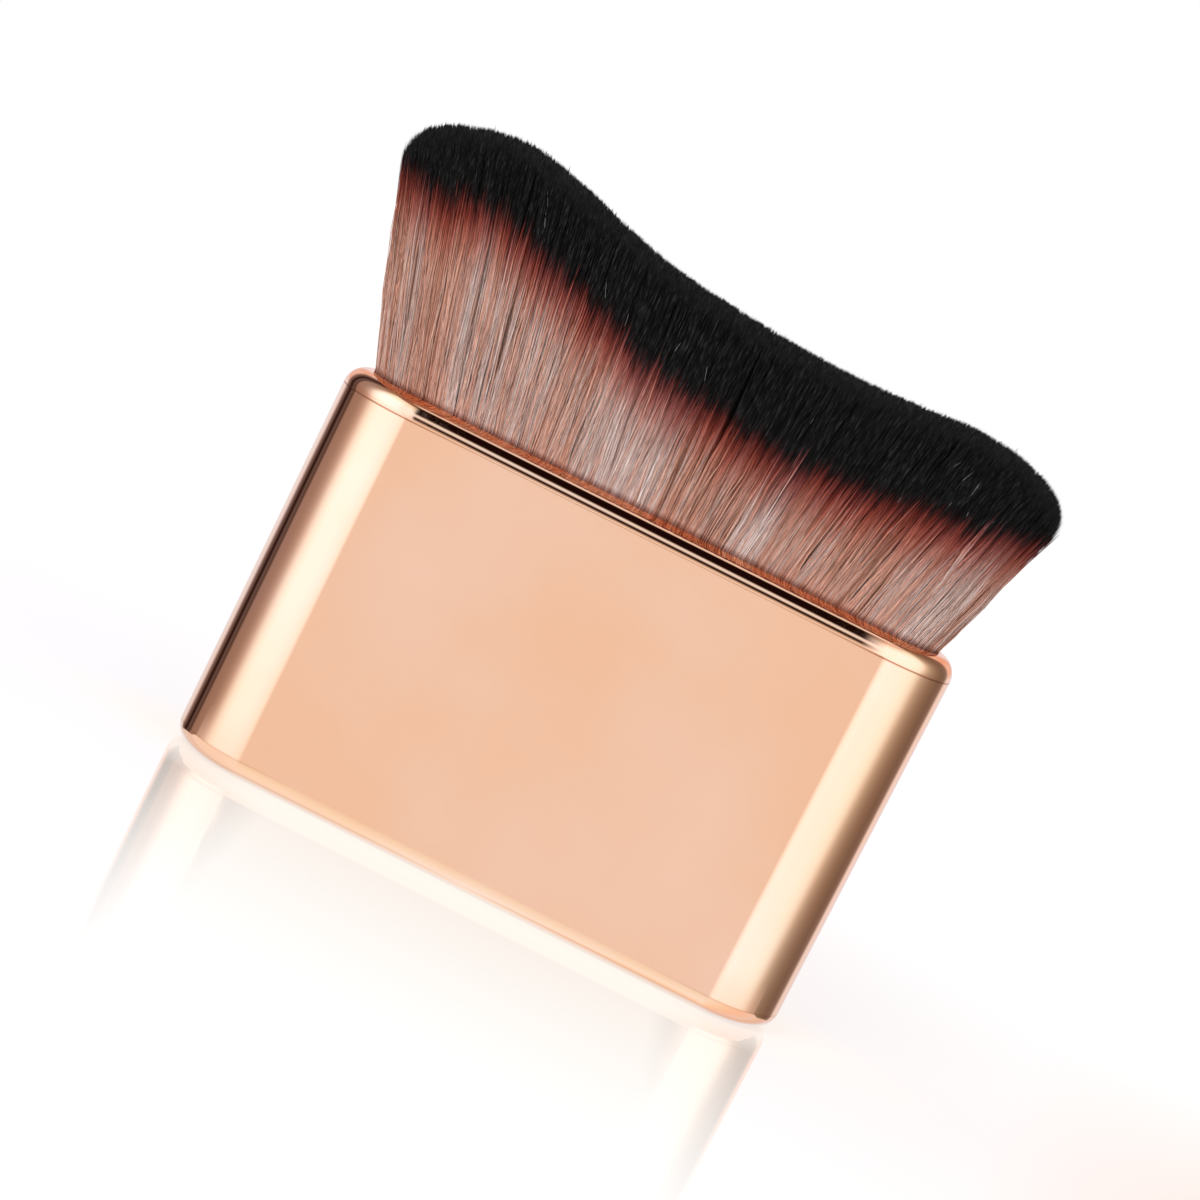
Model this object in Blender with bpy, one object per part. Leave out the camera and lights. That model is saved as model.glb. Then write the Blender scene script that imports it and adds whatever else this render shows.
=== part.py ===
"""Angled makeup brush: a wide, flat, plated handle with a wave-cut head of synthetic bristles.

Metres, +Z up. The origin is the centre of the flat face under the handle. The handle's width
runs along X, with the taller lobe of the bristles at -X, and its depth runs along Y. Row 1 of
the bristles is at the front, at -Y.
"""

import math

import bmesh
import bpy

# Handle, outside
HANDLE_WIDTH = 0.0780
HANDLE_DEPTH = 0.0188
HANDLE_HEIGHT = 0.0484
SHELL_WALL = 0.0012
RIM_INSET = 0.0027
RIM_RISE = 0.00255
SKIRT_LENGTH = 0.0030
BASE_RADIUS = 0.0022
BASE_PLUG_HEIGHT = 0.0040
GAP = 0.0003

# Handle, inside
FERRULE_WALL = 0.0004
FERRULE_LENGTH = 0.0095
RESIN_HEIGHT = 0.0050
BALLAST_WIDTH = 0.0420
BALLAST_DEPTH = 0.0090
BALLAST_HEIGHT = 0.0110

# Bristle head
ROOT_DEPTH = 0.0030
BACKING_HEIGHT = 0.0065
BACKING_EDGE = 0.00015
SIDE_FAN_RADIUS = 0.1005
DEPTH_FAN_RADIUS = 0.0550
LOBE_LENGTH = 0.0316
VALLEY_LENGTH = 0.0245
LEFT_CORNER_DROP = 0.0075
RIGHT_CORNER_DROP = 0.0064
CROWN_DROP = 0.0012
STRAND_PITCH = 0.00142
STRAND_GAP = 0.00034
ROW_COUNT = 7
SHOULDER_SHARE = 0.84
TIP_SHARE = 0.45

# Wave cut between its two outer lobes: place across the half width, height from valley to lobe
WAVE_SHARES = (
    (-0.68, 1.00),
    (-0.51, 0.775),
    (-0.34, 0.437),
    (-0.20, 0.240),
    (0.07, 0.056),
    (0.29, 0.000),
    (0.49, 0.042),
    (0.63, 0.106),
)

# Steps along round outlines
END_STEPS = 20
RIM_STEPS = 7
BASE_STEPS = 6
SMOOTH_ANGLE = math.radians(35)

# Heights along Z
BASE_SEAM = BASE_RADIUS
BASE_PLUG_TOP = BASE_SEAM + BASE_PLUG_HEIGHT
RIM_SEAM = HANDLE_HEIGHT - RIM_RISE
SKIRT_BOTTOM = RIM_SEAM - SKIRT_LENGTH
FERRULE_TOP = SKIRT_BOTTOM - GAP
FERRULE_BOTTOM = FERRULE_TOP - FERRULE_LENGTH
ROOT_HEIGHT = HANDLE_HEIGHT - ROOT_DEPTH
BACKING_BOTTOM = ROOT_HEIGHT - BACKING_HEIGHT
RESIN_TOP = BACKING_BOTTOM - GAP
RESIN_BOTTOM = RESIN_TOP - RESIN_HEIGHT
CORE_BOTTOM = BASE_PLUG_TOP + GAP
CORE_TOP = SKIRT_BOTTOM - GAP
POCKET_FLOOR = min(FERRULE_BOTTOM, RESIN_BOTTOM) - GAP

# Half sizes of the stadium outlines, as (half width, half depth)
OUTER = (HANDLE_WIDTH / 2, HANDLE_DEPTH / 2)
ROOT = (
    (OUTER[0] - RIM_INSET - GAP) / (1 + ROOT_DEPTH / SIDE_FAN_RADIUS),
    (OUTER[1] - RIM_INSET - GAP) / (1 + ROOT_DEPTH / DEPTH_FAN_RADIUS),
)


def grown(outline, amount):
    """The outline moved outward by an amount, or inward where it is negative."""
    return (outline[0] + amount, outline[1] + amount)


BORE = grown(OUTER, -SHELL_WALL)
MOUTH = grown(OUTER, -RIM_INSET)
CORE = grown(BORE, -GAP)
BACKING = grown(ROOT, BACKING_EDGE)
FERRULE_BORE = grown(BACKING, GAP)
FERRULE_OUTER = grown(FERRULE_BORE, FERRULE_WALL)
POCKET = grown(FERRULE_OUTER, GAP)
BALLAST = (BALLAST_WIDTH / 2, BALLAST_DEPTH / 2)
BALLAST_POCKET = grown(BALLAST, GAP)


def clear_scene():
    """Removes every object, so that the part stands alone."""
    for obj in list(bpy.data.objects):
        bpy.data.objects.remove(obj, do_unlink=True)


def material(name, colour, metallic, roughness):
    """A Principled material of one colour."""
    made = bpy.data.materials.new(name)
    made.use_nodes = True
    shader = made.node_tree.nodes["Principled BSDF"]
    shader.inputs["Base Color"].default_value = (*colour, 1.0)
    shader.inputs["Metallic"].default_value = metallic
    shader.inputs["Roughness"].default_value = roughness
    made.diffuse_color = (*colour, 1.0)
    return made


def finish_object(name, bm, made):
    """Turns a bmesh into a named object with one material and smooth round faces."""
    bmesh.ops.recalc_face_normals(bm, faces=bm.faces)
    mesh = bpy.data.meshes.new(name)
    bm.to_mesh(mesh)
    bm.free()
    mesh.materials.append(made)
    mesh.shade_smooth()
    mesh.set_sharp_from_angle(angle=SMOOTH_ANGLE)
    obj = bpy.data.objects.new(name, mesh)
    bpy.context.scene.collection.objects.link(obj)
    return obj


def stadium(outline):
    """Points of a bar with round ends, anticlockwise from the middle of its right end's foot."""
    half_width, radius = outline
    straight = half_width - radius
    points = []
    for side, start in ((1, -math.pi / 2), (-1, math.pi / 2)):
        for step in range(END_STEPS + 1):
            angle = start + math.pi * step / END_STEPS
            points.append((side * straight + radius * math.cos(angle), radius * math.sin(angle)))
    return points


def add_loop(bm, outline, height):
    """A ring of vertices along a stadium outline."""
    return [bm.verts.new((x, y, height)) for x, y in stadium(outline)]


def skin(bm, lower, upper):
    """Quads between two rings."""
    count = len(lower)
    for index in range(count):
        after = (index + 1) % count
        bm.faces.new((lower[index], lower[after], upper[after], upper[index]))


def stadium_body(name, sections, made, ring=False):
    """A body whose section is a stadium, from (outline, height) pairs in order along its wall.

    A ring joins the last section to the first; any other body closes both ends with a face.
    """
    bm = bmesh.new()
    loops = [add_loop(bm, outline, height) for outline, height in sections]
    for lower, upper in zip(loops, loops[1:]):
        skin(bm, lower, upper)
    if ring:
        skin(bm, loops[-1], loops[0])
    else:
        bm.faces.new(list(reversed(loops[0])))
        bm.faces.new(loops[-1])
    return finish_object(name, bm, made)


def base_cap(made):
    """Plug that closes the shell from below, with a rounded edge and a flat underside."""
    sections = []
    for step in range(BASE_STEPS + 1):
        angle = math.pi / 2 * step / BASE_STEPS
        inset = BASE_RADIUS * (1 - math.sin(angle))
        sections.append((grown(OUTER, -inset), BASE_RADIUS * (1 - math.cos(angle))))
    sections.append((CORE, BASE_SEAM))
    sections.append((CORE, BASE_PLUG_TOP))
    return stadium_body("base_cap", sections, made)


def handle_shell(made):
    """Straight wall between the base cap and the collar."""
    bottom = BASE_SEAM + GAP
    top = RIM_SEAM - GAP
    sections = [(OUTER, bottom), (OUTER, top), (BORE, top), (BORE, bottom)]
    return stadium_body("handle_shell", sections, made, ring=True)


def top_collar(made):
    """Rounded rim around the mouth, with a skirt that plugs into the shell."""
    sections = []
    for step in range(RIM_STEPS + 1):
        angle = math.pi / 2 * step / RIM_STEPS
        inset = RIM_INSET * (1 - math.cos(angle))
        sections.append((grown(OUTER, -inset), RIM_SEAM + RIM_RISE * math.sin(angle)))
    sections.append((MOUTH, SKIRT_BOTTOM))
    sections.append((CORE, SKIRT_BOTTOM))
    sections.append((CORE, RIM_SEAM))
    return stadium_body("top_collar", sections, made, ring=True)


def core_block(made):
    """Filler of the shell, with a pocket on top for the ferrule and one below for the ballast."""
    roof = CORE_BOTTOM + BALLAST_HEIGHT + GAP
    sections = [
        (BALLAST_POCKET, roof),
        (BALLAST_POCKET, CORE_BOTTOM),
        (CORE, CORE_BOTTOM),
        (CORE, CORE_TOP),
        (POCKET, CORE_TOP),
        (POCKET, POCKET_FLOOR),
    ]
    return stadium_body("core_block", sections, made)


def ballast_slug(made):
    """Steel weight that gives the handle its heft."""
    sections = [(BALLAST, CORE_BOTTOM), (BALLAST, CORE_BOTTOM + BALLAST_HEIGHT)]
    return stadium_body("ballast_slug", sections, made)


def ferrule(made):
    """Thin metal sleeve around the foot of the bristles."""
    sections = [
        (FERRULE_OUTER, FERRULE_BOTTOM),
        (FERRULE_OUTER, FERRULE_TOP),
        (FERRULE_BORE, FERRULE_TOP),
        (FERRULE_BORE, FERRULE_BOTTOM),
    ]
    return stadium_body("ferrule", sections, made, ring=True)


def resin_plug(made):
    """Cured resin under the bristle rows, inside the ferrule."""
    sections = [(BACKING, RESIN_BOTTOM), (BACKING, RESIN_TOP)]
    return stadium_body("resin_plug", sections, made)


def wave_share(place):
    """Height of the wave cut at a place across the half width, by a smooth curve."""
    last = len(WAVE_SHARES) - 1
    index = 0
    while index < last - 1 and place > WAVE_SHARES[index + 1][0]:
        index += 1

    def slope(at):
        low = max(at - 1, 0)
        high = min(at + 1, last)
        if at in (0, last):
            return 0.0
        run = WAVE_SHARES[high][0] - WAVE_SHARES[low][0]
        return (WAVE_SHARES[high][1] - WAVE_SHARES[low][1]) / run

    left, low_share = WAVE_SHARES[index]
    right, high_share = WAVE_SHARES[index + 1]
    run = right - left
    t = (place - left) / run
    return (
        (2 * t**3 - 3 * t**2 + 1) * low_share
        + (t**3 - 2 * t**2 + t) * run * slope(index)
        + (3 * t**2 - 2 * t**3) * high_share
        + (t**3 - t**2) * run * slope(index + 1)
    )


def cut_length(place):
    """Bristle length above the rim at a place from -1 to 1 across the half width."""
    rise = LOBE_LENGTH - VALLEY_LENGTH
    first, last = WAVE_SHARES[0], WAVE_SHARES[-1]
    if place < first[0]:
        out = (first[0] - place) / (1 + first[0])
        fall = LEFT_CORNER_DROP * (1 - math.sqrt(max(0, 1 - out**2)))
        return VALLEY_LENGTH + rise * first[1] - fall
    if place > last[0]:
        out = (place - last[0]) / (1 - last[0])
        fall = RIGHT_CORNER_DROP * (1 - math.sqrt(max(0, 1 - out**2)))
        return VALLEY_LENGTH + rise * last[1] - fall
    return VALLEY_LENGTH + rise * wave_share(place)


def fan(x, y, climb):
    """A root point carried up by a climb along its strand, as the whole head fans out."""
    side = 1 + climb / SIDE_FAN_RADIUS
    depth = 1 + climb / DEPTH_FAN_RADIUS
    return (x * side, y * depth, ROOT_HEIGHT + climb)


def grow_strand(bm, roots):
    """Carries four root vertices up into a strand with a shoulder and a narrower tip."""
    middle_x = sum(vert.co.x for vert in roots) / len(roots)
    middle_y = sum(vert.co.y for vert in roots) / len(roots)
    crown = CROWN_DROP * (middle_y / ROOT[1]) ** 2
    length = ROOT_DEPTH + cut_length(middle_x / ROOT[0]) - crown
    ring = roots
    for climb, width_share in ((length * SHOULDER_SHARE, 1), (length, TIP_SHARE)):
        upper = []
        for vert in roots:
            x = middle_x + (vert.co.x - middle_x) * width_share
            y = middle_y + (vert.co.y - middle_y) * width_share
            upper.append(bm.verts.new(fan(x, y, climb)))
        skin(bm, ring, upper)
        ring = upper
    bm.faces.new(ring)


def bristle_row(number, made):
    """One row of strands, fused to its slice of the resin that holds the bristles' feet."""
    pitch = 2 * BACKING[1] / ROW_COUNT
    slice_depth = pitch - GAP
    middle = -BACKING[1] + pitch * (number - 0.5)
    front = middle - slice_depth / 2
    back = middle + slice_depth / 2
    edge = max(abs(front), abs(back))
    reach = BACKING[0] - BACKING[1] + math.sqrt(BACKING[1] ** 2 - edge**2)
    strand_reach = reach - BACKING_EDGE
    count = round((2 * strand_reach + STRAND_GAP) / STRAND_PITCH)
    step = (2 * strand_reach + STRAND_GAP) / count
    places = [-reach]
    for index in range(count):
        left = index * step - strand_reach
        places += [left, left + step - STRAND_GAP]
    places.append(reach)

    bm = bmesh.new()
    front_edge = [bm.verts.new((x, front, ROOT_HEIGHT)) for x in places]
    back_edge = [bm.verts.new((x, back, ROOT_HEIGHT)) for x in places]
    feet = [
        bm.verts.new((x, y, BACKING_BOTTOM))
        for x, y in ((-reach, front), (reach, front), (reach, back), (-reach, back))
    ]
    for index in range(len(places) - 1):
        cell = [front_edge[index], front_edge[index + 1], back_edge[index + 1], back_edge[index]]
        if index % 2 == 1:
            grow_strand(bm, cell)
        else:
            bm.faces.new(cell)
    bm.faces.new([feet[3], feet[2], feet[1], feet[0]])
    bm.faces.new([feet[0], feet[1], *reversed(front_edge)])
    bm.faces.new([feet[2], feet[3], *back_edge])
    bm.faces.new([feet[1], feet[2], back_edge[-1], front_edge[-1]])
    bm.faces.new([feet[3], feet[0], front_edge[0], back_edge[0]])
    return finish_object(f"bristle_row_{number}", bm, made)


def main():
    clear_scene()
    rose_gold = material("rose_gold_plating", (0.89, 0.56, 0.40), 1.0, 0.08)
    core_plastic = material("core_plastic", (0.75, 0.74, 0.72), 0.0, 0.5)
    steel = material("ballast_steel", (0.45, 0.45, 0.46), 1.0, 0.4)
    aluminium = material("ferrule_aluminium", (0.82, 0.82, 0.83), 1.0, 0.3)
    resin = material("cured_resin", (0.78, 0.66, 0.48), 0.0, 0.3)
    bristle = material("synthetic_bristle", (0.42, 0.24, 0.20), 0.0, 0.45)
    base_cap(rose_gold)
    handle_shell(rose_gold)
    top_collar(rose_gold)
    core_block(core_plastic)
    ballast_slug(steel)
    ferrule(aluminium)
    resin_plug(resin)
    for number in range(1, ROW_COUNT + 1):
        bristle_row(number, bristle)


main()
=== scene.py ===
"""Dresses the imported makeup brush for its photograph.

The brush is a wide, flat, mirror-plated handle with a wave-cut head of soft bristles. Metres,
+Z up, front at -Y, taller lobe of the bristles at -X. It is put together from the foot up:
base cap, ballast, core, shell, resin and ferrule, top collar, bristles. The stage comes last.
"""

import math

import bmesh
import bpy
import numpy as np
from mathutils import Matrix, Vector
from mathutils.kdtree import KDTree


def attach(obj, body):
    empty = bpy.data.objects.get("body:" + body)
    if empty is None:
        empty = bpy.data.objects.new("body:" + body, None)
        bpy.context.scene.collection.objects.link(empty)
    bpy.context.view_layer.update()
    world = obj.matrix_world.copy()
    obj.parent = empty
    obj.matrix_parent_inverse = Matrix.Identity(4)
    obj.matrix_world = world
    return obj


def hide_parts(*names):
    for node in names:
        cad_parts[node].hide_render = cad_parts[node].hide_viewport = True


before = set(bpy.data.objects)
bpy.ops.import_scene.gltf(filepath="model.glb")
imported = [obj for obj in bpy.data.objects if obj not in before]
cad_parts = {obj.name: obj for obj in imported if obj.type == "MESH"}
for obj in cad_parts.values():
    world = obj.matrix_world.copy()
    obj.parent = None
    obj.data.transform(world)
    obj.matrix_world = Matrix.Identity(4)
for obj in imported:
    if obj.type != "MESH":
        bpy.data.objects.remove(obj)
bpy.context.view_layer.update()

# Base cap: the rounded foot of the handle, moulded plastic with rose gold plating. Its edge is
# a quarter round over a flat underside, and its plug is glued up into the shell.
MM = 0.001
HANDLE_HALF_WIDTH = 39.0 * MM
HANDLE_HALF_DEPTH = 9.4 * MM
HANDLE_HEIGHT = 48.4 * MM
FLAT_HALF_WIDTH = HANDLE_HALF_WIDTH - HANDLE_HALF_DEPTH
OUTLINE_VERTICES = 192
BASE_RADIUS = 2.2 * MM
BASE_STEPS = 14
PLUG_INSET = 1.5 * MM
BASE_PLUG_TOP = 6.2 * MM
SEAM_SLACK = 0.02 * MM
SMOOTH_ANGLE = math.radians(40)


def pick(bar, kind, wanted):
    """Selects the vertices, edges or faces of a bar in edit mode that pass a test."""
    bpy.ops.mesh.select_mode(type=kind)
    bpy.ops.mesh.select_all(action="DESELECT")
    bm = bmesh.from_edit_mesh(bar.data)
    for item in {"VERT": bm.verts, "EDGE": bm.edges, "FACE": bm.faces}[kind]:
        if wanted(item):
            item.select_set(True)
    bm.select_flush_mode()
    bmesh.update_edit_mesh(bar.data)


def plated_bar(name, half_width, half_depth, bottom, top):
    """Adds a bar with round ends, from a cylinder whose two halves are moved apart.

    The outline has no vertex on its middle line, so each straight side is one flat face.
    """
    bpy.ops.object.select_all(action="DESELECT")
    half_step = math.pi / OUTLINE_VERTICES
    bpy.ops.mesh.primitive_cylinder_add(
        vertices=OUTLINE_VERTICES,
        radius=half_depth / math.cos(half_step),
        depth=top - bottom,
        end_fill_type="NGON",
        location=(0, 0, (bottom + top) / 2),
        rotation=(0, 0, half_step),
    )
    bar = bpy.context.object
    bar.name = name
    bar.data.name = name
    bpy.ops.object.transform_apply(location=True, rotation=True, scale=True)
    bpy.ops.object.mode_set(mode="EDIT")
    for side in (1, -1):
        pick(bar, "VERT", lambda vert: vert.co.x * side > 0)
        bpy.ops.transform.translate(value=(side * (half_width - half_depth), 0, 0))
    return bar


def choose_cap(bar, facing):
    """Selects the end face of a bar that looks up or down, as facing is 1 or -1."""
    pick(bar, "FACE", lambda face: len(face.verts) > 4 and face.normal.z * facing > 0.9)


def draw_in(inset, rise):
    """Narrows the chosen end by an inset and moves it up by a rise."""
    bpy.ops.mesh.inset(thickness=inset, depth=0)
    bpy.ops.transform.translate(value=(0, 0, rise))


def pull_out(rise):
    """Extrudes the chosen end straight up, or down where the rise is negative."""
    bpy.ops.mesh.extrude_region_move(TRANSFORM_OT_translate={"value": (0, 0, rise)})


def quarter_turn(steps):
    """The angles at which each step of a quarter turn starts and ends."""
    angles = [math.pi / 2 * step / steps for step in range(steps + 1)]
    return zip(angles, angles[1:])


def round_over(across, up, steps):
    """Narrows the chosen end in a quarter round, this far in and this far up or down."""
    for before, after in quarter_turn(steps):
        inset = across * (math.cos(before) - math.cos(after))
        draw_in(inset, up * (math.sin(after) - math.sin(before)))


def finish_plated(bar, made, node):
    """Leaves edit mode, shades a plated piece so that its flats mirror true, and seats it."""
    bpy.ops.mesh.select_all(action="SELECT")
    bpy.ops.mesh.normals_make_consistent(inside=False)
    bpy.ops.object.mode_set(mode="OBJECT")
    bpy.ops.object.shade_smooth_by_angle(angle=SMOOTH_ANGLE)
    weighted = bar.modifiers.new("flat_sides", "WEIGHTED_NORMAL")
    weighted.mode = "FACE_AREA"
    weighted.weight = 80
    weighted.keep_sharp = True
    bpy.ops.object.modifier_apply(modifier=weighted.name)
    bar.data.materials.clear()
    bar.data.materials.append(made)
    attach(bar, "root")
    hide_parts(node)


def new_material(name):
    """A new material, its node tree and its shader."""
    made = bpy.data.materials.new(name)
    made.use_nodes = True
    return made, made.node_tree, made.node_tree.nodes["Principled BSDF"]


def add_node(tree, kind, **settings):
    """A node with its settings; inputs are set or fed by name, underscores standing for spaces."""
    node = tree.nodes.new(kind)
    for name, value in settings.items():
        if hasattr(node, name):
            setattr(node, name, value)
        elif isinstance(value, bpy.types.NodeSocket):
            tree.links.new(value, node.inputs[name.replace("_", " ")])
        else:
            node.inputs[name.replace("_", " ")].default_value = value
    return node


def add_ramp(tree, factor, stops):
    """A colour ramp fed by a socket; stops are (position, colour) pairs."""
    ramp = add_node(tree, "ShaderNodeValToRGB", Fac=factor)
    elements = ramp.color_ramp.elements
    elements.remove(elements[-1])
    for index, (position, colour) in enumerate(stops):
        element = elements[0] if index == 0 else elements.new(position)
        element.position = position
        element.color = (*colour, 1.0)
    return ramp.outputs["Color"]


def maths(tree, operation, *values):
    """A maths node over sockets or numbers."""
    node = add_node(tree, "ShaderNodeMath", operation=operation)
    for socket, value in zip(node.inputs, values):
        if isinstance(value, (int, float)):
            socket.default_value = value
        else:
            tree.links.new(value, socket)
    return node.outputs[0]


def span_share(tree, value, start, end, low=0.0, high=1.0):
    """A share that runs from low at a value's start to high at its end, and is held beyond."""
    span = add_node(tree, "ShaderNodeMapRange", Value=value, From_Min=start, From_Max=end)
    span.inputs["To Min"].default_value = low
    span.inputs["To Max"].default_value = high
    return span.outputs["Result"]


def blend(tree, share, first, second, kind="MIX"):
    """The first colour, or the second where the share is 1; each is a socket or a tuple."""
    mixed = add_node(tree, "ShaderNodeMix", data_type="RGBA", blend_type=kind, Factor=share)
    for socket, colour in zip(mixed.inputs[6:8], (first, second)):
        if isinstance(colour, tuple):
            socket.default_value = (*colour, 1.0)
        else:
            tree.links.new(colour, socket)
    return mixed.outputs[2]


def tinted(tree, colour, other):
    """One colour multiplied by another."""
    return blend(tree, 1.0, colour, other, kind="MULTIPLY")


def grey(value):
    """A neutral colour."""
    return (value, value, value)


ROSE_GOLD = (0.887, 0.556, 0.398)
ROSE_GOLD_WARM = (0.885, 0.524, 0.345)
ROSE_GOLD_PALE = (0.889, 0.582, 0.432)
WALL_MIDDLE = 25 * MM
WALL_HALF_HEIGHT = 22 * MM
EDGE_WARMTH = 0.12
# Painted shade at the foot's bottom edge and along both seams, and a painted reflection of copper on
# the lip
FOOT_EDGE_SHADE = (0.68, 0.68, 0.73)
FOOT_EDGE_SHADE_TOP = 0.40 * MM
RIM_SEAM = 45.85 * MM
SEAM_LINE = RIM_SEAM - 0.03 * MM
SEAM_SHADE_WIDTH = 0.17 * MM
SEAM_SHADE_MIDDLE = (1.0, 0.95, 0.89)
SEAM_SHADE_END = (0.55, 0.36, 0.28)
BASE_SEAM_SHADE_END = (0.84, 0.77, 0.71)
BASE_SEAM_SHADE_SHARES = (0.75, 1.05)
LIP_REFLECTED_COPPER = (1.0, 0.74, 0.57)
LIP_REFLECTION_BOTTOM = 47.65 * MM
LIP_REFLECTION_TOP = 47.95 * MM
WIPE_SCALE = (900.0, 900.0, 120.0)
FILM_ROUGHNESS = (0.012, 0.045)
RIPPLE_DEPTH = 0.02 * MM


def rose_gold_mirror():
    """Bright electroplating: a mirror with a faint cloudiness and a film of fine wipe marks."""
    made, tree, shader = new_material("rose_gold_mirror")
    shader.inputs["Metallic"].default_value = 1.0
    place = add_node(tree, "ShaderNodeTexCoord").outputs["Object"]

    clouds = add_node(tree, "ShaderNodeTexNoise", Vector=place, Scale=42.0, Detail=3.0, Roughness=0.5)
    parts = add_node(tree, "ShaderNodeSeparateXYZ", Vector=place)
    across, up = parts.outputs["X"], parts.outputs["Z"]
    # The plating is a little thicker, and so warmer, towards the edges of each side
    out_x = maths(tree, "ABSOLUTE", maths(tree, "DIVIDE", across, FLAT_HALF_WIDTH))
    out_z = maths(tree, "SUBTRACT", up, WALL_MIDDLE)
    out_z = maths(tree, "ABSOLUTE", maths(tree, "DIVIDE", out_z, WALL_HALF_HEIGHT))
    edge = maths(tree, "ADD", maths(tree, "POWER", out_x, 4.0), maths(tree, "POWER", out_z, 4.0))
    edge = maths(tree, "MULTIPLY", maths(tree, "MINIMUM", edge, 1.0), EDGE_WARMTH)
    tone = maths(tree, "SUBTRACT", clouds.outputs["Fac"], edge)
    tones = ((0.30, ROSE_GOLD_WARM), (0.5, ROSE_GOLD), (0.72, ROSE_GOLD_PALE))
    colour = add_ramp(tree, tone, tones)
    # Painted shade darkens the bottom edge of the foot, where it mirrors the shadow under it, and
    # lies along both seams towards the ends
    foot_edge_shaded = span_share(tree, up, 0.0, FOOT_EDGE_SHADE_TOP)
    colour = tinted(tree, colour, add_ramp(tree, foot_edge_shaded, ((0.1, FOOT_EDGE_SHADE), (1.0, grey(1.0)))))
    # Painted shadow line under the rim's step, darker towards the ends
    seam_off = maths(tree, "ABSOLUTE", maths(tree, "SUBTRACT", up, SEAM_LINE))
    on_seam = span_share(tree, seam_off, SEAM_SHADE_WIDTH, 0.0)
    seam_shade = add_ramp(tree, out_x, ((0.7, SEAM_SHADE_MIDDLE), (1.0, SEAM_SHADE_END)))
    colour = tinted(tree, colour, blend(tree, on_seam, grey(1.0), seam_shade))
    # Painted shade along the seam over the foot, only towards the ends
    base_off = maths(tree, "ABSOLUTE", maths(tree, "SUBTRACT", up, BASE_RADIUS))
    on_base = span_share(tree, base_off, SEAM_SHADE_WIDTH, 0.0)
    on_base = maths(tree, "MULTIPLY", on_base, span_share(tree, out_x, *BASE_SEAM_SHADE_SHARES))
    base_seam_shade = ((0.0, grey(1.0)), (1.0, BASE_SEAM_SHADE_END))
    colour = tinted(tree, colour, add_ramp(tree, on_base, base_seam_shade))
    # The lip shows more copper: a painted reflection of the bristles' copper roots
    on_lip = span_share(tree, up, LIP_REFLECTION_BOTTOM, LIP_REFLECTION_TOP)
    colour = tinted(tree, colour, add_ramp(tree, on_lip, ((0.0, grey(1.0)), (1.0, LIP_REFLECTED_COPPER))))
    tree.links.new(colour, shader.inputs["Base Color"])

    spread = add_node(tree, "ShaderNodeMapping", Vector=place, Scale=WIPE_SCALE).outputs["Vector"]
    wipes = add_node(tree, "ShaderNodeTexNoise", Vector=spread, Scale=1.0, Detail=4.0, Roughness=0.65)
    least, most = FILM_ROUGHNESS
    film = add_ramp(tree, wipes.outputs["Fac"], ((0.35, grey(least)), (0.75, grey(most))))
    tree.links.new(film, shader.inputs["Roughness"])

    ripple = add_node(tree, "ShaderNodeTexNoise", Vector=place, Scale=160.0, Detail=1.0)
    ripple = ripple.outputs["Fac"]
    bump = add_node(tree, "ShaderNodeBump", Height=ripple, Strength=0.25, Distance=RIPPLE_DEPTH)
    tree.links.new(bump.outputs["Normal"], shader.inputs["Normal"])
    return made


plating = rose_gold_mirror()

base = plated_bar(
    "base_cap_plated",
    HANDLE_HALF_WIDTH,
    HANDLE_HALF_DEPTH,
    BASE_RADIUS - SEAM_SLACK,
    BASE_RADIUS,
)
choose_cap(base, -1)
round_over(BASE_RADIUS, SEAM_SLACK - BASE_RADIUS, BASE_STEPS)
choose_cap(base, 1)
draw_in(PLUG_INSET, 0)
pull_out(BASE_PLUG_TOP - BASE_RADIUS)
finish_plated(base, plating, "base_cap")


# Ballast: a steel bar cut from stock, which gives the handle its heft. It lies in a pocket of
# the core, on the base cap's plug.
def dress_kept(node, made):
    """Gives a kept CAD node its finished material."""
    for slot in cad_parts[node].material_slots:
        slot.material = made


def textured(name, colours, roughness, relief, scale, stretch=(1.0, 1.0, 1.0), metallic=0.0):
    """A material whose tone, gloss and relief all follow one stretched grain."""
    made, tree, shader = new_material(name)
    shader.inputs["Metallic"].default_value = metallic
    place = add_node(tree, "ShaderNodeTexCoord").outputs["Object"]
    along = add_node(tree, "ShaderNodeMapping", Vector=place, Scale=stretch).outputs["Vector"]
    grain = add_node(tree, "ShaderNodeTexNoise", Vector=along, Scale=scale, Detail=5.0, Roughness=0.6)
    grain = grain.outputs["Fac"]
    colour = add_ramp(tree, grain, zip((0.3, 0.7), colours))
    tree.links.new(colour, shader.inputs["Base Color"])
    gloss = add_ramp(tree, grain, zip((0.3, 0.7), map(grey, roughness)))
    tree.links.new(gloss, shader.inputs["Roughness"])
    bump = add_node(tree, "ShaderNodeBump", Height=grain, Strength=0.5, Distance=relief)
    tree.links.new(bump.outputs["Normal"], shader.inputs["Normal"])
    return made


cut_steel = textured(
    "ballast_cut_steel",
    colours=((0.36, 0.36, 0.38), (0.52, 0.52, 0.53)),
    roughness=(0.28, 0.46),
    relief=0.03 * MM,
    scale=900.0,
    stretch=(0.05, 1.0, 1.0),
    metallic=1.0,
)
dress_kept("ballast_slug", cut_steel)

# Core: a moulded plastic filler glued inside the thin plated shell. It carries the ferrule in a
# pocket above and the ballast in one below.
moulded_plastic = textured(
    "core_moulded_plastic",
    colours=((0.70, 0.69, 0.66), (0.78, 0.77, 0.75)),
    roughness=(0.45, 0.58),
    relief=0.02 * MM,
    scale=1400.0,
)
dress_kept("core_block", moulded_plastic)

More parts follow.
